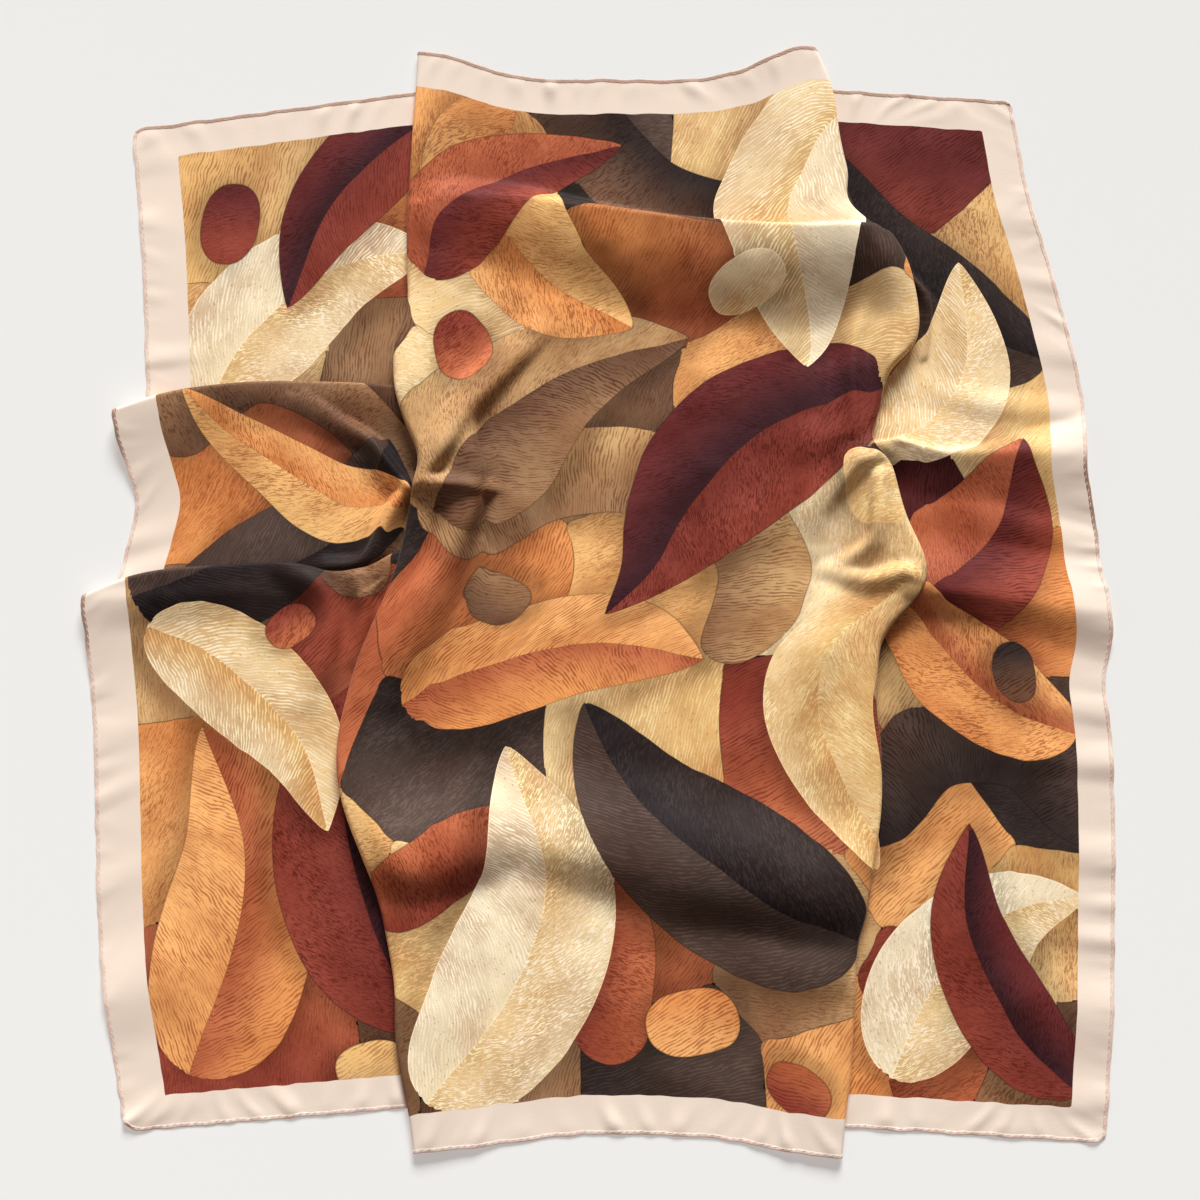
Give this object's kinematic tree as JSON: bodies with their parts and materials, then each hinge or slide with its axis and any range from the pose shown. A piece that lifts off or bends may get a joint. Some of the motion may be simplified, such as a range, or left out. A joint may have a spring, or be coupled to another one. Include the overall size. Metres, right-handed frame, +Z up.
{
  "type": "silk square scarf",
  "caption": "Square silk scarf with a plain pale border, narrow rolled hem and printed field, laid flat in a loose box pleat with soft waves and gathered pinches.",
  "frame": {"origin": "middle of the footprint, on the surface the scarf lies on", "axes": "+Z up from the surface, +Y along the long folds towards the top hem, +X to the right"},
  "size_m": [0.4884, 0.529, 0.0207],
  "materials": {
    "silk": "satin",
    "hem": "satin"
  },
  "bodies": {
    "root": {"cloth_centre": "silk", "cloth_right": "silk", "cloth_left_upper": "silk", "cloth_left_mid": "silk", "cloth_left_lower": "silk", "folds_left_upper": "silk", "folds_left_lower": "silk", "folds_right_upper": "silk", "folds_right_lower": "silk", "folds_mid": "silk", "folds_lower": "silk", "hem_centre_top": "hem", "hem_centre_bottom": "hem", "hem_left_top": "hem", "hem_left_side_upper": "hem", "hem_left_side_mid": "hem", "hem_left_side_lower": "hem", "hem_left_bottom": "hem", "hem_right_top": "hem", "hem_right_side": "hem", "hem_right_bottom": "hem"}
  },
  "joints": []
}
